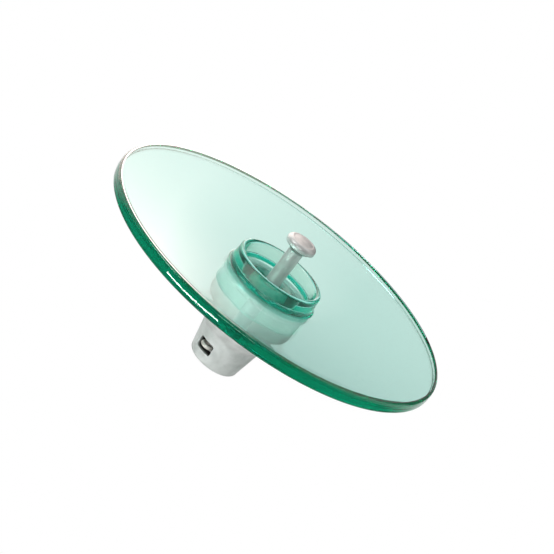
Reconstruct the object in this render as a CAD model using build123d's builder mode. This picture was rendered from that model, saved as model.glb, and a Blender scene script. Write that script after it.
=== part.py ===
from build123d import *
from math import radians, sqrt, tan
import os

# Cap-and-pin disc insulator with an open-profile toughened glass shell and a 16 mm ball and socket coupling.
#
# Millimetres. The axis is Z. The insulator stands on the flat socket end of its cap at z = 0, pin upwards.
# The socket opens towards +Y, and the split pin that locks a ball in it comes out at the back, towards -Y.

# ball and socket coupling, size 16
spacing = 146.0  # from one unit's ball end to the next unit's, down a string
ball_diameter = 33.3
ball_height = 13.4  # from the end face down to where the ball leaves the shank
ball_land = 2.6  # straight rim at the ball's full diameter
ball_crown = 5.4  # the rim's top edge lies this far under the end face
ball_face_diameter = 22.0  # end face inside the ball's rounded shoulder
ball_dome = 0.9  # how far the end face stands up in its middle
shank_diameter = 16.4
ball_rounding = 1.2  # under the ball's rim
neck_radius = 2.0  # fillet where the shank meets the ball

socket_edge = 3.8  # lip left under the ball, at the shank slot
socket_ridge = 2.4  # step that a ball is lifted over as it enters
slot_width = 19.2  # shank slot through the lip
pocket_width = 34.5  # entry and pocket for a ball
seat_play = 0.2  # a ball's end stands this much under its nominal level
cut_overlap = 0.01  # the shank slot runs this far into the entry above it

# split pin
wire_diameter = 4.2
wire_play = 0.3  # gap from the wire to the socket's roof, and to a seated ball
eye_diameter = 14.5  # across the outside of the eye
eye_stand_out = 3.2  # how far the eye's end stands out of the cap's wall
leg_spread = 2.35  # from the axis to a leg's centre, along its straight part
leg_rounding = 3.0  # bend radius of the legs
eye_front_rounding = 0.95  # bend at the eye's outer end, as a share of the eye's radius
eye_neck = 2.2  # from the eye's front to where the legs open into it
hump_rounding = 2.4
hump_spread = 7.0  # the same at the hump that keeps the pin in the cap
hump_reach = 5.0  # the hump's place beyond the insulator's axis
tip_reach = 9.0
tip_spread = 5.2
hump_length = 5.5  # from the straight part to the hump

# window at the back of the cap
window_width = 19.6
window_height = 12.8
window_depth = 9.5  # outer recess round the eye; a narrower one goes on into the pocket
window_drop = 0.9  # the recess's middle lies this far under the split pin
window_rounding = 2.2
guide_width = 15.5  # the narrower part, which the humps catch behind

# cap
cap_end_radius = 27.0  # socket end, before its edge is rounded
cap_end_rounding = 4.5
mouth_reach = 5.5  # how far the cap's end stands out on the side where a ball goes in
mouth_height = 24.0
mouth_radius = 26.4
mouth_set_back = 1.6  # from the cap's end face to the mouth's own
mouth_rounding = 7.0
cap_waist_radius = 34.0
cap_waist_height = 36.0
cap_waist_rounding = 8.0
cap_shoulder_wall = 5.5  # outside the crown's cement
cap_shoulder_rise = 14.7  # over the crown's outside
cap_shoulder_rounding = 10.0
cap_rim_gap = 1.4  # from the rim to the shed's root
cap_bead = 7.0  # height of the thicker bead at the rim
cap_bead_step = 1.8
bead_rounding = 1.7
cap_wall = 5.2
cap_lip_depth = 3.2  # lip at the rim that locks behind the cement
cap_lip_height = 4.0
cap_lip_slope = 6.0
web_thickness = 12.0  # between the socket's roof and the cement

# glass shell
shed_diameter = 390.0
rim_thickness = 13.2
rim_rounding = 3.0
rim_land = 5.0  # flat ring inside the shed's edge
shed_root_thickness = 14.0
shed_dish = 19.4  # the shed's edge stands this far above its root, on the pin side
shed_sag = 1.8  # how far the shed's surfaces hang under a straight cone, half way out
collar_height = 18.3
collar_radius = 48.6
collar_wall = 4.9
collar_draft = 5.0  # degrees
collar_foot_rounding = 3.5
collar_lip_flat = 0.2  # left between the two roundings of the collar's lip
head_radius = 40.0  # widest, beside the crown
head_neck_radius = 37.4
crown_flat_radius = 18.0
head_neck_rounding = 7.5
crown_thickness = 11.0
head_height = 54.1  # from the crown's outside to the shed's root, cap side
crown_bedding = 3.5  # cement between the crown and the cap
skirt_bedding = 5.0  # cement between the head and the cap, at the rim

pin_hole_radius = 28.0  # deep in the head
pin_hole_mouth_radius = 22.5
pin_hole_corner = 7.0
pin_hole_mouth_rounding = 2.5
well_floor_radius = 39.5  # floor of the well inside the collar
well_floor_drop = 4.2  # that floor's edge lies this far under the shed's root, pin side
well_floor_slope = 4.6  # and falls this far more towards the pin hole
well_rounding = 5.0

# pin inside the head
pad_thickness = 3.5
pad_radius = 16.0
pin_foot_radius = 18.0
pin_foot_thickness = 5.0
pin_foot_taper = 8.5
pin_waist_radius = 11.6
pin_ridge_radius = 14.6
pin_ridge_rise = 6.0
pin_ridge_fall = 7.5
pin_root_radius = 10.4
pin_root_rise = 7.0
pin_rounding = 2.0
cement_below_mouth = 7.0  # the pin's cement stops this far under the pin hole's mouth

# levels along the axis, worked out from the sizes above
shed_radius = shed_diameter / 2
ball_radius = ball_diameter / 2
shank_radius = shank_diameter / 2
pocket_radius = pocket_width / 2
wire_radius = wire_diameter / 2

seated_ball_end = socket_edge + ball_height - seat_play
pin_end = seated_ball_end + spacing
split_pin_level = seated_ball_end + wire_play + wire_radius
socket_roof = split_pin_level + wire_radius + wire_play
cap_floor = socket_roof + web_thickness
crown_outside = cap_floor + crown_bedding
crown_inside = crown_outside + crown_thickness
pin_foot = crown_inside + pad_thickness
root_cap_side = crown_outside + head_height
root_pin_side = root_cap_side + shed_root_thickness
rim_top = root_pin_side + shed_dish
rim_under = rim_top - rim_thickness
collar_top = root_pin_side + collar_height
well_floor = root_pin_side - well_floor_drop
pin_hole_mouth = well_floor - well_floor_slope
pin_cement_level = pin_hole_mouth - cement_below_mouth

collar_inner_radius = collar_radius - collar_wall
head_corner = head_radius - crown_flat_radius
cap_shoulder_radius = head_radius + crown_bedding + cap_shoulder_wall
cap_shoulder_height = crown_outside + cap_shoulder_rise
cap_rim_radius = head_radius + skirt_bedding + cap_wall + cap_bead_step
cap_rim_height = root_cap_side - cap_rim_gap
cap_lip_radius = head_radius + skirt_bedding - cap_lip_depth
cap_side_slope = (cap_waist_radius - cap_end_radius) / cap_waist_height
cap_wall_at_split_pin = cap_end_radius + cap_side_slope * split_pin_level
eye_radius = eye_diameter / 2 - wire_radius
eye_centre = eye_diameter / 2 - cap_wall_at_split_pin - eye_stand_out


def round_corner(sketch, r, z, radius):
    """Rounds the corner of a sketch that lies nearest to (r, z)."""
    corner = sketch.vertices().sort_by_distance(Vector(r, z))[0]
    fillet(corner, radius=radius)


# outlines: each is half a section, with the radius along X and the height along Y
with BuildSketch(Plane.XZ) as shell_outline:
    root_radius = collar_radius + collar_height * tan(radians(collar_draft))
    land_radius = shed_radius - rim_land
    half_way = (root_radius + land_radius) / 2
    with BuildLine():
        Polyline(
            (0, crown_outside),
            (head_radius, crown_outside),
            (head_neck_radius, root_cap_side),
        )
        cap_side = ThreePointArc(
            (head_neck_radius, root_cap_side),
            (half_way, (root_cap_side + rim_under) / 2 - shed_sag),
            (land_radius, rim_under),
        )
        Polyline(cap_side @ 1, (shed_radius, rim_under), (shed_radius, rim_top), (land_radius, rim_top))
        pin_side = ThreePointArc(
            (land_radius, rim_top),
            (half_way, (root_pin_side + rim_top) / 2 - shed_sag),
            (root_radius, root_pin_side),
        )
        Polyline(pin_side @ 1, (collar_radius, collar_top), (0, collar_top), (0, crown_outside))
    make_face()
    round_corner(shell_outline, head_radius, crown_outside, head_corner)
    round_corner(shell_outline, head_neck_radius, root_cap_side, head_neck_rounding)
    round_corner(shell_outline, land_radius, rim_under, rim_land)
    round_corner(shell_outline, shed_radius, rim_under, rim_rounding)
    round_corner(shell_outline, shed_radius, rim_top, rim_rounding)
    round_corner(shell_outline, land_radius, rim_top, rim_land)
    round_corner(shell_outline, root_radius, root_pin_side, collar_foot_rounding)

with BuildSketch(Plane.XZ) as pin_hole_outline:
    with BuildLine():
        Polyline(
            (0, crown_inside),
            (pin_hole_radius, crown_inside),
            (pin_hole_mouth_radius, pin_hole_mouth),
            (well_floor_radius, well_floor),
            (collar_inner_radius, collar_top),
            (0, collar_top),
            close=True,
        )
    make_face()
    round_corner(pin_hole_outline, pin_hole_radius, crown_inside, pin_hole_corner)
    round_corner(pin_hole_outline, pin_hole_mouth_radius, pin_hole_mouth, pin_hole_mouth_rounding)
    round_corner(pin_hole_outline, well_floor_radius, well_floor, well_rounding)

with BuildSketch(Plane.XZ) as pin_outline:
    waist = pin_foot + pin_foot_thickness + pin_foot_taper
    ridge = waist + pin_ridge_rise
    root = ridge + pin_ridge_fall
    ball_neck = pin_end - ball_height
    land_top = pin_end - ball_crown
    land_foot = land_top - ball_land
    face_radius = ball_face_diameter / 2
    dome_radius = (face_radius**2 + ball_dome**2) / (2 * ball_dome)
    with BuildLine():
        lower = Polyline(
            (0, pin_foot),
            (pin_foot_radius, pin_foot),
            (pin_foot_radius, pin_foot + pin_foot_thickness),
            (pin_waist_radius, waist),
            (pin_ridge_radius, ridge),
            (pin_root_radius, root),
            (shank_radius, root + pin_root_rise),
            (shank_radius, ball_neck),
            (ball_radius, land_foot),
            (ball_radius, land_top),
        )
        shoulder = TangentArc(lower @ 1, (face_radius, pin_end - ball_dome), tangent=(0, 1))
        face = ThreePointArc(
            shoulder @ 1,
            (face_radius / 2, pin_end - dome_radius + sqrt(dome_radius**2 - face_radius**2 / 4)),
            (0, pin_end),
        )
        Line(face @ 1, (0, pin_foot))
    make_face()
    round_corner(pin_outline, pin_foot_radius, pin_foot, pin_rounding)
    round_corner(pin_outline, pin_foot_radius, pin_foot + pin_foot_thickness, pin_rounding)
    round_corner(pin_outline, pin_waist_radius, waist, pin_rounding)
    round_corner(pin_outline, pin_ridge_radius, ridge, pin_rounding)
    round_corner(pin_outline, shank_radius, ball_neck, neck_radius)
    round_corner(pin_outline, ball_radius, land_foot, ball_rounding)

with BuildSketch(Plane.XZ) as pad_outline:
    with Locations((pad_radius / 2, crown_inside + pad_thickness / 2)):
        Rectangle(pad_radius, pad_thickness)

with BuildSketch(Plane.XZ) as cap_outline:
    bead_foot = cap_rim_height - cap_bead
    with BuildLine():
        Polyline(
            (0, 0),
            (cap_end_radius, 0),
            (cap_waist_radius, cap_waist_height),
            (cap_shoulder_radius, cap_shoulder_height),
            (cap_rim_radius - cap_bead_step, bead_foot),
            (cap_rim_radius, bead_foot + cap_bead_step),
            (cap_rim_radius, cap_rim_height),
            (0, cap_rim_height),
            close=True,
        )
    make_face()
    round_corner(cap_outline, cap_end_radius, 0, cap_end_rounding)
    round_corner(cap_outline, cap_waist_radius, cap_waist_height, cap_waist_rounding)
    round_corner(cap_outline, cap_shoulder_radius, cap_shoulder_height, cap_shoulder_rounding)
    round_corner(cap_outline, cap_rim_radius - cap_bead_step, bead_foot, bead_rounding)
    round_corner(cap_outline, cap_rim_radius, bead_foot + cap_bead_step, bead_rounding)
    round_corner(cap_outline, cap_rim_radius, cap_rim_height, bead_rounding)

with BuildSketch(Plane.XZ) as cap_hollow_outline:
    lip_foot = cap_rim_height - cap_lip_height
    with BuildLine():
        Polyline(
            (0, cap_floor),
            (head_radius + crown_bedding, cap_floor),
            (head_radius + skirt_bedding, lip_foot - cap_lip_slope),
            (cap_lip_radius, lip_foot),
            (cap_lip_radius, cap_rim_height),
            (0, cap_rim_height),
            close=True,
        )
    make_face()
    round_corner(cap_hollow_outline, head_radius + crown_bedding, cap_floor, head_corner + crown_bedding)

# glass shell
with BuildPart() as glass_shell:
    with BuildSketch(Plane.XZ) as shell_section:
        add(shell_outline.sketch_local)
        add(pin_hole_outline.sketch_local, mode=Mode.SUBTRACT)
        lip_rounding = (collar_wall - collar_lip_flat) / 2
        round_corner(shell_section, collar_inner_radius, collar_top, lip_rounding)
        round_corner(shell_section, collar_radius, collar_top, lip_rounding)
    revolve(axis=Axis.Z)

# pin, its pad and its cement
with BuildPart() as pin:
    with BuildSketch(Plane.XZ):
        add(pin_outline.sketch_local)
    revolve(axis=Axis.Z)

with BuildPart() as pin_end_pad:
    with BuildSketch(Plane.XZ):
        add(pad_outline.sketch_local)
    revolve(axis=Axis.Z)

with BuildPart() as pin_cement:
    with BuildSketch(Plane.XZ):
        add(pin_hole_outline.sketch_local)
        with Locations((0, pin_cement_level)):
            Rectangle(
                4 * collar_radius,
                collar_top,
                align=(Align.CENTER, Align.MIN),
                mode=Mode.SUBTRACT,
            )
        add(pin_outline.sketch_local, mode=Mode.SUBTRACT)
        add(pad_outline.sketch_local, mode=Mode.SUBTRACT)
    revolve(axis=Axis.Z)

# cap with its socket, and the cement round the head
with BuildPart() as cap:
    with BuildSketch(Plane.XZ):
        add(cap_outline.sketch_local)
        add(cap_hollow_outline.sketch_local, mode=Mode.SUBTRACT)
    revolve(axis=Axis.Z)
    # thicker mouth, on the side where a ball goes in
    with BuildSketch(Plane.XZ.offset(-mouth_reach)) as mouth_outline:
        with Locations((0, mouth_set_back)):
            Rectangle(mouth_radius, mouth_height - mouth_set_back, align=Align.MIN)
        round_corner(mouth_outline, mouth_radius, mouth_set_back, mouth_rounding)
    revolve(axis=Axis((0, mouth_reach, 0), (0, 0, 1)))
    # pocket that a ball sits in, with a conical seat like the ball's underside
    seat_rise = ball_height - ball_crown - ball_land
    with BuildSketch(Plane.XZ):
        with BuildLine():
            Polyline(
                (0, socket_edge),
                (slot_width / 2, socket_edge),
                (pocket_radius, socket_edge + seat_rise),
                (pocket_radius, socket_roof),
                (0, socket_roof),
                close=True,
            )
        make_face()
    revolve(axis=Axis.Z, mode=Mode.SUBTRACT)
    # entry, a step higher than the seat, so that a ball has to be lifted to leave
    with BuildSketch(Plane.XZ):
        with BuildLine():
            ridge_level = socket_edge + socket_ridge
            Polyline(
                (-slot_width / 2, ridge_level),
                (slot_width / 2, ridge_level),
                (pocket_radius, ridge_level + seat_rise),
                (pocket_radius, socket_roof),
                (-pocket_radius, socket_roof),
                (-pocket_radius, ridge_level + seat_rise),
                close=True,
            )
        make_face()
    extrude(amount=-cap_shoulder_radius, mode=Mode.SUBTRACT)
    # slot for the shank, through the lip
    with BuildSketch(Plane.XY):
        Circle(slot_width / 2)
        Rectangle(slot_width, cap_shoulder_radius, align=(Align.CENTER, Align.MIN))
    extrude(amount=ridge_level + cut_overlap, mode=Mode.SUBTRACT)
    # recess and slot for the split pin
    with BuildSketch(Plane.XZ.offset(cap_wall_at_split_pin - window_depth)):
        with Locations((0, split_pin_level - window_drop)):
            RectangleRounded(window_width, window_height, window_rounding)
    extrude(amount=cap_shoulder_radius, mode=Mode.SUBTRACT)
    window_foot = split_pin_level - window_drop - window_height / 2
    with BuildSketch(Plane.XZ):
        with Locations((0, window_foot)):
            Rectangle(guide_width, socket_roof - window_foot, align=(Align.CENTER, Align.MIN))
    extrude(amount=cap_shoulder_radius, mode=Mode.SUBTRACT)

with BuildPart() as cap_cement:
    with BuildSketch(Plane.XZ):
        add(cap_hollow_outline.sketch_local)
        add(shell_outline.sketch_local, mode=Mode.SUBTRACT)
    revolve(axis=Axis.Z)

# split pin: one wire, folded into an eye and two humped legs
with BuildPart() as split_pin:
    level = Plane.XY.offset(split_pin_level)
    side = eye_radius
    right_side = [
        (tip_spread, tip_reach),
        (hump_spread, hump_reach),
        (leg_spread, hump_reach - hump_length),
        (leg_spread, eye_centre + side + eye_neck),
        (side, eye_centre + side / 3),
        (side, eye_centre - side),
    ]
    left_side = [(-x, y) for x, y in reversed(right_side)]
    bends = [hump_rounding, leg_rounding, leg_rounding, side, eye_front_rounding * side]
    with BuildLine(level) as wire:
        FilletPolyline(*right_side, *left_side, radius=bends + bends[::-1])
    with BuildSketch(Plane(origin=wire.line @ 0, z_dir=wire.line % 0)):
        Circle(wire_radius)
    sweep()

# files
os.makedirs("parts", exist_ok=True)
pieces = {
    "cap": cap,
    "glass_shell": glass_shell,
    "pin": pin,
    "pin_end_pad": pin_end_pad,
    "pin_cement": pin_cement,
    "cap_cement": cap_cement,
    "split_pin": split_pin,
}
for name, piece in pieces.items():
    piece.part.label = name
    export_step(piece.part, f"parts/{name}.step")

print("overall height", round(pin_end, 2))
print("rim top", round(rim_top, 2), "split pin level", round(split_pin_level, 2))
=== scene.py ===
import bpy
import bmesh
from math import cos, sin, pi, radians, hypot
from mathutils import Matrix, Vector


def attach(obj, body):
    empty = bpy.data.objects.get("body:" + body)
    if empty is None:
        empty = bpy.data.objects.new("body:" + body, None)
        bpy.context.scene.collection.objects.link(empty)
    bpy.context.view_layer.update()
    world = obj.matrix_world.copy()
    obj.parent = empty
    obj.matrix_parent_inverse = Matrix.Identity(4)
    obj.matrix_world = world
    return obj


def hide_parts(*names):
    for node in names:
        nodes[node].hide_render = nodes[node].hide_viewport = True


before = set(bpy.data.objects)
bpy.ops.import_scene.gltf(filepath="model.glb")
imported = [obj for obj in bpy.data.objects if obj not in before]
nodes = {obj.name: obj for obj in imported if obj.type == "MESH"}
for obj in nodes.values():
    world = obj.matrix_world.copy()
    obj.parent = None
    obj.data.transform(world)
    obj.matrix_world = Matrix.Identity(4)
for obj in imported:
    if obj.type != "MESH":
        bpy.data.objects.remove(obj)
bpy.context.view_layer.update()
mm = 0.001


# helpers for node trees
def blankMaterial(name):
    material = bpy.data.materials.new(name)
    material.use_nodes = True
    tree = material.node_tree
    tree.nodes.clear()
    return material, tree, tree.nodes.new("ShaderNodeOutputMaterial")


def solidMaterial(name):
    material, tree, out = blankMaterial(name)
    shader = tree.nodes.new("ShaderNodeBsdfPrincipled")
    tree.links.new(shader.outputs["BSDF"], out.inputs["Surface"])
    return material, tree, shader, out


def objectCoordinates(tree, scale=(1, 1, 1)):
    coords = tree.nodes.new("ShaderNodeTexCoord")
    mapping = tree.nodes.new("ShaderNodeMapping")
    mapping.inputs["Scale"].default_value = scale
    tree.links.new(coords.outputs["Object"], mapping.inputs["Vector"])
    return mapping.outputs["Vector"]


def noise(tree, vector, scale, detail):
    node = tree.nodes.new("ShaderNodeTexNoise")
    node.inputs["Scale"].default_value = scale
    node.inputs["Detail"].default_value = detail
    node.inputs["Roughness"].default_value = 0.55
    tree.links.new(vector, node.inputs["Vector"])
    return node.outputs["Fac"]


def arithmetic(tree, operation, *values, clamp=False):
    node = tree.nodes.new("ShaderNodeMath")
    node.operation = operation
    node.use_clamp = clamp
    for value, socket in zip(values, node.inputs):
        if isinstance(value, bpy.types.NodeSocket):
            tree.links.new(value, socket)
        else:
            socket.default_value = value
    return node.outputs["Value"]


def mapRange(tree, value, low, high, toLow, toHigh):
    node = tree.nodes.new("ShaderNodeMapRange")
    for key, number in zip(("From Min", "From Max", "To Min", "To Max"), (low, high, toLow, toHigh)):
        node.inputs[key].default_value = number
    tree.links.new(value, node.inputs["Value"])
    return node.outputs["Result"]


def bump(tree, height, distance):
    node = tree.nodes.new("ShaderNodeBump")
    node.inputs["Distance"].default_value = distance
    node.inputs["Strength"].default_value = 1.0
    tree.links.new(height, node.inputs["Height"])
    return node.outputs["Normal"]


def mixInto(tree, share, colour, socket):
    mix = tree.nodes.new("ShaderNodeMix")
    mix.data_type = "RGBA"
    tree.links.new(share, mix.inputs["Factor"])
    tree.links.new(socket.links[0].from_socket, mix.inputs["A"])
    mix.inputs["B"].default_value = (*colour, 1)
    tree.links.new(mix.outputs["Result"], socket)


def mixShaders(tree, share, first, second):
    mix = tree.nodes.new("ShaderNodeMixShader")
    tree.links.new(share, mix.inputs["Fac"])
    tree.links.new(first, mix.inputs[1])
    tree.links.new(second, mix.inputs[2])
    return mix.outputs["Shader"]


# the blotches and fine grain that zinc, wire, cement and cork share
grainSpread = (0.34, 0.66)  # the part of the noise that goes from dark to light
grainShare = 0.35  # of the fine grain in the relief, beside the blotches


def grainGroup():
    group = bpy.data.node_groups.new("zincGrain", "ShaderNodeTree")
    face = group.interface
    face.new_socket(name="Vector", in_out="INPUT", socket_type="NodeSocketVector")
    for name in ("Blotch Scale", "Grain Scale"):
        face.new_socket(name=name, in_out="INPUT", socket_type="NodeSocketFloat")
    for name in ("Dark", "Light"):
        face.new_socket(name=name, in_out="INPUT", socket_type="NodeSocketColor")
    face.new_socket(name="Color", in_out="OUTPUT", socket_type="NodeSocketColor")
    for name in ("Blotch", "Height"):
        face.new_socket(name=name, in_out="OUTPUT", socket_type="NodeSocketFloat")
    inside = group.nodes.new("NodeGroupInput")
    outside = group.nodes.new("NodeGroupOutput")

    def cloud(scaleSocket, detail):
        node = group.nodes.new("ShaderNodeTexNoise")
        node.inputs["Detail"].default_value = detail
        group.links.new(inside.outputs["Vector"], node.inputs["Vector"])
        group.links.new(inside.outputs[scaleSocket], node.inputs["Scale"])
        return node.outputs["Fac"]

    blotch = cloud("Blotch Scale", 5.0)
    grain = cloud("Grain Scale", 3.0)
    wide = mapRange(group, blotch, *grainSpread, 0.0, 1.0)
    mix = group.nodes.new("ShaderNodeMix")
    mix.data_type = "RGBA"
    group.links.new(wide, mix.inputs["Factor"])
    group.links.new(inside.outputs["Dark"], mix.inputs["A"])
    group.links.new(inside.outputs["Light"], mix.inputs["B"])
    group.links.new(mix.outputs["Result"], outside.inputs["Color"])
    group.links.new(wide, outside.inputs["Blotch"])
    group.links.new(arithmetic(group, "MULTIPLY_ADD", grain, grainShare, blotch), outside.inputs["Height"])
    return group


zincGrain = grainGroup()


def grainedMaterial(name, look):
    material, tree, shader, out = solidMaterial(name)
    grain = tree.nodes.new("ShaderNodeGroup")
    grain.node_tree = zincGrain
    tree.links.new(objectCoordinates(tree, look["stretch"]), grain.inputs["Vector"])
    grain.inputs["Blotch Scale"].default_value = look["blotch"]
    grain.inputs["Grain Scale"].default_value = look["grain"]
    grain.inputs["Dark"].default_value = (*look["dark"], 1)
    grain.inputs["Light"].default_value = (*look["light"], 1)
    tree.links.new(grain.outputs["Color"], shader.inputs["Base Color"])
    roughness = mapRange(tree, grain.outputs["Blotch"], 0, 1, *look["roughness"])
    tree.links.new(roughness, shader.inputs["Roughness"])
    tree.links.new(bump(tree, grain.outputs["Height"], look["relief"]), shader.inputs["Normal"])
    shader.inputs["Metallic"].default_value = look["metallic"]
    return material


# turned pieces: each corner of a half-section is its radius, its height and its rounding in mm
turning = {
    "steps": 256,
    "tiny": 1e-6,  # metres
    "largeRounding": 10.0,
    "largeSegments": 16,
    "smallSegments": 8,
}


def turnedPiece(name, corners):
    tiny = turning["tiny"]
    bm = bmesh.new()
    verts = [bm.verts.new((r * mm, 0, z * mm)) for r, z, rounding in corners]
    edges = [bm.edges.new(pair) for pair in zip(verts, verts[1:])]
    bmesh.ops.spin(bm, geom=verts + edges, cent=(0, 0, 0), axis=(0, 0, 1), angle=2 * pi,
                   steps=turning["steps"], use_merge=True)
    bmesh.ops.remove_doubles(bm, verts=bm.verts, dist=tiny)
    for r, z, rounding in corners:
        if not rounding:
            continue
        ring = [e for e in bm.edges if all(
            abs(hypot(v.co.x, v.co.y) - r * mm) < tiny and abs(v.co.z - z * mm) < tiny for v in e.verts)]
        large = rounding > turning["largeRounding"]
        segments = turning["largeSegments"] if large else turning["smallSegments"]
        bmesh.ops.bevel(bm, geom=ring, offset=rounding * mm, offset_type="OFFSET", affect="EDGES",
                        segments=segments, profile=0.5, material=-1, clamp_overlap=False)
    bmesh.ops.recalc_face_normals(bm, faces=bm.faces)
    for face in bm.faces:
        face.smooth = True
    mesh = bpy.data.meshes.new(name)
    bm.to_mesh(mesh)
    bm.free()
    piece = bpy.data.objects.new(name, mesh)
    bpy.context.collection.objects.link(piece)
    weighted = piece.modifiers.new("evenShading", "WEIGHTED_NORMAL")
    weighted.keep_sharp = False
    return piece


# glass shell: head in the cap, open shed, collar round the pin
shell = {
    "bonded": 0.15,  # the glass runs this far into the cement, so that the joint looks wetted
    "headRadius": 40.0,
    "headCorner": 22.0,
    "crownOutside": 37.3,
    "crownInside": 48.3,
    "neck": (37.4, 91.4, 6.6),
    "capSideMiddle": (120.0, 98.2, 56.0),
    "capSideLand": (190.0, 111.6, 2.5),
    "rimUnder": (194.3, 111.6, 3.0),
    "rimMiddle": (195.0, 118.2, 2.5),
    "rimTop": (194.3, 124.8, 3.0),
    "pinSideLand": (190.0, 124.8, 2.5),
    "pinSideMiddle": (120.0, 111.8, 56.0),
    "collarFoot": (50.2, 105.4, 3.0),
    "lipOutside": (48.6, 123.7, 2.35),
    "lipInside": (43.7, 123.7, 2.35),
    "wellEdge": (40.2, 106.4, 1.8),
    "holeMouth": (23.5, 105.6, 1.6),
    "dimple": (11.5, 100.5, 1.0),
    "sealRadius": 9.0,  # just clear of the shank
    "cementTop": 89.6,
    "holeAtCement": 23.3,
    "holeCorner": (28.0, 48.3, 7.0),
}


def shellCorners():
    s = shell
    into = s["bonded"]
    head = s["headRadius"] + into
    seal = s["cementTop"] - into
    holeRadius, holeFoot, holeRounding = s["holeCorner"]
    return [
        (0, s["crownOutside"] - into, 0), (head, s["crownOutside"] - into, s["headCorner"]),
        s["neck"], s["capSideMiddle"], s["capSideLand"],
        s["rimUnder"], s["rimMiddle"], s["rimTop"],
        s["pinSideLand"], s["pinSideMiddle"],
        s["collarFoot"], s["lipOutside"], s["lipInside"], s["wellEdge"],
        s["holeMouth"], s["dimple"], (s["sealRadius"], seal, 0), (s["holeAtCement"] - into, seal, 0),
        (holeRadius - into, holeFoot + into, holeRounding), (0, s["crownInside"] + into, 0),
    ]


glassShell = turnedPiece("glassShell", shellCorners())
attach(glassShell, "insulator")
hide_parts("glass_shell")
print("glass shell made", len(glassShell.data.polygons))

# cement between the glass head and the cap; it shows through the shed, so it is turned smooth
capBed = {
    "crownBed": 3.5,  # under the glass crown
    "crownRadius": 43.5,
    "crownRounding": 25.4,
    "rim": (45.0, 80.2),
    "lipRadius": 41.8,
    "lipFoot": 86.0,
    "top": 90.0,
    "headAtTop": 37.51,
}
# cement round the pin's foot, seen through the floor of the well
pinBed = {
    "padRadius": 15.98,
    "padFoot": 48.35,
    "padTop": 51.8,
    "footRadius": 18.02,
    "footTop": 56.8,
    "waist": (11.65, 65.3),
    "shoulder": (14.65, 71.3),
    "taper": (10.45, 78.8),
    "shankRadius": 8.25,
    "shankFoot": 85.8,
}


def capBedCorners():
    b = capBed
    foot = shell["crownOutside"] - b["crownBed"]
    return [
        (0, foot, 0), (b["crownRadius"], foot, b["crownRounding"]), (*b["rim"], 0),
        (b["lipRadius"], b["lipFoot"], 0), (b["lipRadius"], b["top"], 0), (b["headAtTop"], b["top"], 0),
        (shell["headRadius"], shell["crownOutside"], shell["headCorner"]), (0, shell["crownOutside"], 0),
    ]


def pinBedCorners():
    b = pinBed
    holeRadius, holeFoot, holeRounding = shell["holeCorner"]
    start = (b["padRadius"], b["padFoot"], 0)
    return [
        start, (holeRadius, b["padFoot"], holeRounding),
        (shell["holeAtCement"], shell["cementTop"], 0), (b["shankRadius"], shell["cementTop"], 0),
        (b["shankRadius"], b["shankFoot"], 0), (*b["taper"], 0), (*b["shoulder"], 0), (*b["waist"], 0),
        (b["footRadius"], b["footTop"], 0), (b["footRadius"], b["padTop"], 0),
        (b["padRadius"], b["padTop"], 0), start,
    ]


cements = {
    "capCement": {"node": "cap_cement", "corners": capBedCorners()},
    "pinCement": {"node": "pin_cement", "corners": pinBedCorners()},
}
for name, cement in cements.items():
    piece = turnedPiece(name, cement["corners"])
    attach(piece, "insulator")
    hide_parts(cement["node"])
    cement["piece"] = piece
print("cements made")

glassLook = {
    "tint": (0.0, 0.85, 0.78),
    "density": 25.0,  # per metre
    "surface": (0.86, 0.88, 0.83),
    "bend": 1.5,
    "rippleScale": 45.0,
    "ripple": 0.00001,
    "smearScale": 130.0,
    "smear": (0.4, 0.7),
    "roughness": (0.0, 0.015),
}


def glassMaterial():
    look = glassLook
    material, tree, shader, out = solidMaterial("mintGlass")
    shader.inputs["Base Color"].default_value = (*look["surface"], 1)
    shader.inputs["Transmission Weight"].default_value = 1.0
    shader.inputs["IOR"].default_value = look["bend"]
    vector = objectCoordinates(tree)
    ripple = noise(tree, vector, look["rippleScale"], 2.0)
    smear = noise(tree, vector, look["smearScale"], 3.0)
    tree.links.new(mapRange(tree, smear, *look["smear"], *look["roughness"]), shader.inputs["Roughness"])
    tree.links.new(bump(tree, ripple, look["ripple"]), shader.inputs["Normal"])
    volume = tree.nodes.new("ShaderNodeVolumeAbsorption")
    volume.inputs["Color"].default_value = (*look["tint"], 1)
    volume.inputs["Density"].default_value = look["density"]
    tree.links.new(volume.outputs["Volume"], out.inputs["Volume"])
    return material


# finishes of the metal, cement and pad; lengths in them are in metres
capLook = {
    "stretch": (1, 1, 1), "blotch": 75.0, "grain": 1100.0,
    "dark": (0.42, 0.45, 0.43), "light": (0.56, 0.59, 0.57),
    "roughness": (0.62, 0.48), "relief": 0.0003, "metallic": 0.15,
    "endRadius": 0.027, "sideSlope": 0.1944,  # outer wall, near the socket
    # painted shade inside the socket: how far in from the outer wall, and between which heights, the cap is
    # painted near black
    "inside": (0.0012, 0.0045), "shadeFoot": (0.0045, 0.0065), "shadeTop": (0.0262, 0.0235),
    "socketShadeColour": (0.02, 0.02, 0.018),
    "skirt": (0.045, 0.075), "skirtPaintedLight": (0.95, 0.96, 0.95),  # painted light: the cap is painted paler up under the shed, where the shed shades it
}
pinLook = {
    "stretch": (1, 1, 0.5), "blotch": 120.0, "grain": 1400.0,
    "dark": (0.54, 0.55, 0.53), "light": (0.68, 0.69, 0.67),
    "roughness": (0.46, 0.38), "relief": 0.00008, "metallic": 0.6,
}
wireLook = {
    "stretch": (1, 0.2, 1), "blotch": 260.0, "grain": 2500.0,
    "dark": (0.42, 0.41, 0.36), "light": (0.66, 0.65, 0.60),
    "roughness": (0.40, 0.28), "relief": 0.00004, "metallic": 0.35,
}
capCementLook = {
    "stretch": (1, 1, 1), "blotch": 210.0, "grain": 1600.0,
    "dark": (0.88, 0.91, 0.88), "light": (0.95, 0.96, 0.94),
    "roughness": (0.95, 0.85), "relief": 0.0004, "metallic": 0.0,
}
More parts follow.
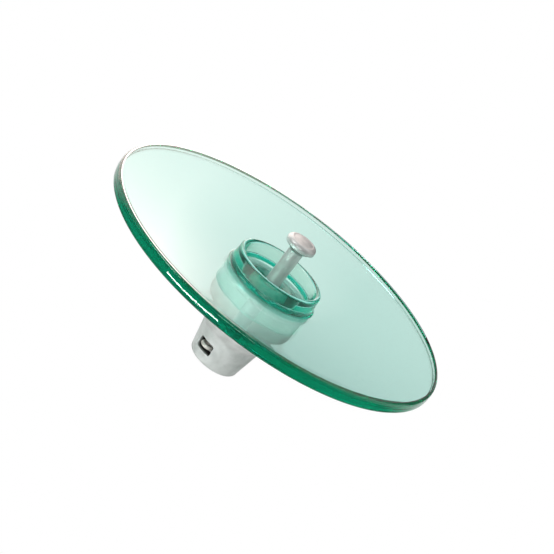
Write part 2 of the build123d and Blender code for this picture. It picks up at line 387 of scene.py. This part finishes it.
pinCementLook = {
    "stretch": (1, 1, 1), "blotch": 260.0, "grain": 1600.0,
    "dark": (0.12, 0.76, 0.60), "light": (0.26, 0.93, 0.80),
    "roughness": (0.8, 0.6), "relief": 0.0004, "metallic": 0.0,
}
padLook = {
    "stretch": (1, 1, 1), "blotch": 500.0, "grain": 2000.0,
    "dark": (0.16, 0.10, 0.06), "light": (0.40, 0.28, 0.17),
    "roughness": (0.9, 0.8), "relief": 0.0003, "metallic": 0.0,
}


# zinc grain on the cap, with painted light: pale up under the shed, against the shed's shadow, and painted
# shade: dark inside the socket
def capFinishWithPaintedLight():
    look = capLook
    material = grainedMaterial("galvanisedCastingPaintedLight", look)
    tree = material.node_tree
    colour = tree.nodes["Principled BSDF"].inputs["Base Color"]
    place = objectCoordinates(tree)
    split = tree.nodes.new("ShaderNodeSeparateXYZ")
    tree.links.new(place, split.inputs["Vector"])
    height = split.outputs["Z"]
    flat = tree.nodes.new("ShaderNodeVectorMath")
    flat.operation = "MULTIPLY"
    flat.inputs[1].default_value = (1, 1, 0)
    tree.links.new(place, flat.inputs[0])
    length = tree.nodes.new("ShaderNodeVectorMath")
    length.operation = "LENGTH"
    tree.links.new(flat.outputs["Vector"], length.inputs[0])
    wall = arithmetic(tree, "MULTIPLY_ADD", height, look["sideSlope"], look["endRadius"])
    depth = arithmetic(tree, "SUBTRACT", wall, length.outputs["Value"])  # in from the cap's outer side
    # painted light: a paler colour mixed in from 45 to 75 mm up, against the shed's shadow on the cap
    mixInto(tree, mapRange(tree, height, *look["skirt"], 0.0, 1.0), look["skirtPaintedLight"], colour)
    # painted shade: near black mixed in inside the socket's hollow, where shade falls
    inside = mapRange(tree, depth, *look["inside"], 0.0, 1.0)
    foot = mapRange(tree, height, *look["shadeFoot"], 0.0, 1.0)
    top = mapRange(tree, height, *look["shadeTop"], 0.0, 1.0)
    socket = arithmetic(tree, "MULTIPLY", inside, arithmetic(tree, "MULTIPLY", foot, top))
    mixInto(tree, socket, look["socketShadeColour"], colour)
    return material


glassShell.data.materials.append(glassMaterial())
cements["pinCement"]["piece"].data.materials.append(grainedMaterial("darkCement", pinCementLook))
cements["capCement"]["piece"].data.materials.append(grainedMaterial("paleCement", capCementLook))
finishes = {
    "cap": capFinishWithPaintedLight(),
    "pin": grainedMaterial("galvanisedSteel", pinLook),
    "split_pin": grainedMaterial("springWire", wireLook),
    "pin_end_pad": grainedMaterial("corkPad", padLook),
}
for node, material in finishes.items():
    for slot in nodes[node].material_slots:
        slot.material = material
print("finishes set")

# camera: pin up and leaning to the right, cap towards the lower left
shot = {
    "lens": 146.5,
    "sensor": 36.0,
    "reach": 50.0,
    "distance": 2.258,
    "elevation": 20.7,
    "heading": -61.0,  # of the camera, seen from above, from +X
    "lean": 37.8,
    "aimHeight": 0.1248,
    "aimRight": -0.0056,
    "aimUp": -0.0079,
}


def polar(heading, elevation):
    h, e = radians(heading), radians(elevation)
    return Vector((cos(h) * cos(e), sin(h) * cos(e), sin(e)))


away = polar(shot["heading"], shot["elevation"])  # from the object to the camera
ahead = polar(shot["heading"] + 180, 0)  # level, on past the object

# room: white floor far below and white all round; gloss sees it dark on the near side
room = {
    "floorLevel": -1.5, "floorSize": 16.0,
    "surround": 0.75, "floorLight": 0.75,
    "glossNear": 0.08, "glossFar": 0.95,
    "floorEdges": (1.5, 3.5), "worldEdges": (-0.3, 0.4),
}


def roomShader(tree, kind, coordinate, edges, litStrength):
    path = tree.nodes.new("ShaderNodeLightPath")
    lit, gloss, white = (tree.nodes.new(kind) for i in range(3))
    for node, strength in ((lit, litStrength), (gloss, 1.0), (white, 1.0)):
        node.inputs["Color"].default_value = (1, 1, 1, 1)
        node.inputs["Strength"].default_value = strength
    coords = tree.nodes.new("ShaderNodeTexCoord")
    along = tree.nodes.new("ShaderNodeVectorMath")
    along.operation = "DOT_PRODUCT"
    along.inputs[1].default_value = ahead
    tree.links.new(coords.outputs[coordinate], along.inputs[0])
    shade = mapRange(tree, along.outputs["Value"], *edges, room["glossNear"], room["glossFar"])
    tree.links.new(shade, gloss.inputs["Strength"])
    hidden = mixShaders(tree, path.outputs["Is Glossy Ray"], lit.outputs[0], gloss.outputs[0])
    shown = arithmetic(tree, "MAXIMUM", path.outputs["Is Camera Ray"], path.outputs["Is Transmission Ray"])
    return mixShaders(tree, shown, hidden, white.outputs[0])


def flatSheet(name, size, level):
    bm = bmesh.new()
    bmesh.ops.create_grid(bm, x_segments=1, y_segments=1, size=size / 2)
    bmesh.ops.translate(bm, verts=bm.verts, vec=(0, 0, level))
    mesh = bpy.data.meshes.new(name)
    bm.to_mesh(mesh)
    bm.free()
    sheet = bpy.data.objects.new(name, mesh)
    bpy.context.collection.objects.link(sheet)
    return sheet


def makeFloor():
    floor = flatSheet("floor", room["floorSize"], room["floorLevel"])
    material, tree, out = blankMaterial("paleFloor")
    light = roomShader(tree, "ShaderNodeEmission", "Object", room["floorEdges"], room["floorLight"])
    tree.links.new(light, out.inputs["Surface"])
    floor.data.materials.append(material)


def makeWorld():
    world = bpy.data.worlds.new("studio")
    world.use_nodes = True
    tree = world.node_tree
    tree.nodes.clear()
    out = tree.nodes.new("ShaderNodeOutputWorld")
    light = roomShader(tree, "ShaderNodeBackground", "Generated", room["worldEdges"], room["surround"])
    tree.links.new(light, out.inputs["Surface"])
    bpy.context.scene.world = world


makeFloor()
makeWorld()
print("room made")


def makeCamera():
    look, lean = -away, radians(shot["lean"])
    pinUp = (Vector((0, 0, 1)) - look * look.z).normalized()
    pinRight = look.cross(pinUp)
    up = cos(lean) * pinUp - sin(lean) * pinRight
    right = sin(lean) * pinUp + cos(lean) * pinRight
    aim = Vector((0, 0, shot["aimHeight"])) + right * shot["aimRight"] + up * shot["aimUp"]
    data = bpy.data.cameras.new("camera")
    data.lens = shot["lens"]
    data.sensor_width = shot["sensor"]
    data.clip_end = shot["reach"]
    camera = bpy.data.objects.new("camera", data)
    bpy.context.collection.objects.link(camera)
    turn = Matrix((right, up, away)).transposed().to_4x4()
    camera.matrix_world = Matrix.Translation(aim + away * shot["distance"]) @ turn
    bpy.context.scene.camera = camera
    return right, up


right, up = makeCamera()

lampAim = Vector((0, 0, 0.1))
lamps = {
    "keyLamp": {"towards": up - right * 0.3 + away * 0.7, "distance": 2.2, "size": (0.9, 0.9), "power": 12},
    "fillLamp": {"towards": away, "distance": 2.4, "size": (1.0, 1.0), "power": 8},
    # long low strip on the camera's side, for the streak along the rim and the highlight down the pin
    "stripLamp": {"towards": polar(-91, -21), "distance": 1.5, "size": (1.0, 0.12), "power": 11},
}


def softLamp(name, lamp):
    data = bpy.data.lights.new(name, "AREA")
    data.shape = "RECTANGLE"
    data.size, data.size_y = lamp["size"]
    data.energy = lamp["power"]
    light = bpy.data.objects.new(name, data)
    light.location = lampAim + lamp["towards"].normalized() * lamp["distance"]
    light.rotation_mode = "QUATERNION"
    light.rotation_quaternion = lamp["towards"].to_track_quat("Z", "Y")
    bpy.context.collection.objects.link(light)


for name, lamp in lamps.items():
    softLamp(name, lamp)

# bright card behind the disc on the left, graded away towards the right; only mirrored rays see it
card = {
    "distance": 0.75, "left": -1.2, "right": 1.2, "foot": -0.05, "top": 1.1,
    "strength": 2.3, "dim": 0.12, "tint": (1.0, 0.84, 0.81),
    "fade": (-0.09, 0.035), "level": 0.39,  # metres to the right of the axis, at this height
    "tilt": 0.08,  # the fade leans: the card's foot goes dark sooner than its top
}


def makeCard():
    side = ahead.cross(Vector((0, 0, 1)))
    piece = flatSheet("glowCard", 1.0, 0.0)
    turn = Matrix((side, Vector((0, 0, 1)), -ahead)).transposed().to_4x4()
    width, height = card["right"] - card["left"], card["top"] - card["foot"]
    middle, level = (card["right"] + card["left"]) / 2, (card["top"] + card["foot"]) / 2
    place = ahead * card["distance"] + side * middle + Vector((0, 0, level))
    piece.matrix_world = Matrix.Translation(place) @ turn @ Matrix.Diagonal((width, height, 1, 1))
    material, tree, out = blankMaterial("glowCard")
    coords = tree.nodes.new("ShaderNodeTexCoord")
    split = tree.nodes.new("ShaderNodeSeparateXYZ")
    tree.links.new(coords.outputs["Generated"], split.inputs["Vector"])
    slope = -card["tilt"] * height / width
    slant = arithmetic(tree, "MULTIPLY_ADD", split.outputs["Y"], slope, split.outputs["X"])
    leaned = card["tilt"] * (card["level"] - card["foot"])
    start, end = ((edge - card["left"] - leaned) / width for edge in card["fade"])
    glow = tree.nodes.new("ShaderNodeEmission")
    glow.inputs["Color"].default_value = (*card["tint"], 1)
    fade = mapRange(tree, slant, start, end, card["strength"], card["dim"])
    tree.links.new(fade, glow.inputs["Strength"])
    clear = tree.nodes.new("ShaderNodeBsdfTransparent")
    path = tree.nodes.new("ShaderNodeLightPath")
    # refracted rays count as glossy too, so they are taken off
    glossy, refracted = path.outputs["Is Glossy Ray"], path.outputs["Is Transmission Ray"]
    mirrored = arithmetic(tree, "SUBTRACT", glossy, refracted, clamp=True)
    surface = mixShaders(tree, mirrored, clear.outputs["BSDF"], glow.outputs["Emission"])
    tree.links.new(surface, out.inputs["Surface"])
    piece.data.materials.append(material)


makeCard()
print("camera, lamps and card set")

bpy.context.scene.view_settings.view_transform = "Standard"
cycles = bpy.context.scene.cycles
bounces = 40  # light runs a long way round inside the rim
cycles.max_bounces = bounces
cycles.transmission_bounces = bounces
cycles.glossy_bounces = bounces
